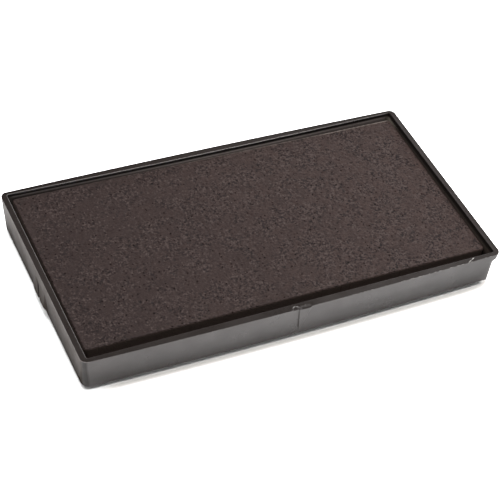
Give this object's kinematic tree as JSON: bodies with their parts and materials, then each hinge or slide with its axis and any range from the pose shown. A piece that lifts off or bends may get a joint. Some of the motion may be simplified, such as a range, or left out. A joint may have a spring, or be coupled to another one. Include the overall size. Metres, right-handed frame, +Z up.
{
  "type": "ink pad cartridge",
  "caption": "Shallow black plastic tray holding a fine-pored, ink-soaked foam pad on a felt reservoir, with a finger lip at one end, for re-inking a flat stamp.",
  "frame": {"origin": "centre of the underside of the tray, on the surface it rests on", "axes": "+X to the end with the finger lip, +Y to the back, +Z up out of the ink face"},
  "size_m": [0.084, 0.044, 0.0084],
  "materials": {
    "tray_plastic": "satin, faintly grained, injection moulded",
    "reservoir_felt": "coarse felt soaked with ink",
    "inked_foam": "fine-pored foam, brown-black with ink, damp"
  },
  "bodies": {
    "root": {"tray": "tray_plastic", "reservoir_felt": "reservoir_felt", "ink_foam": "inked_foam"}
  },
  "joints": []
}
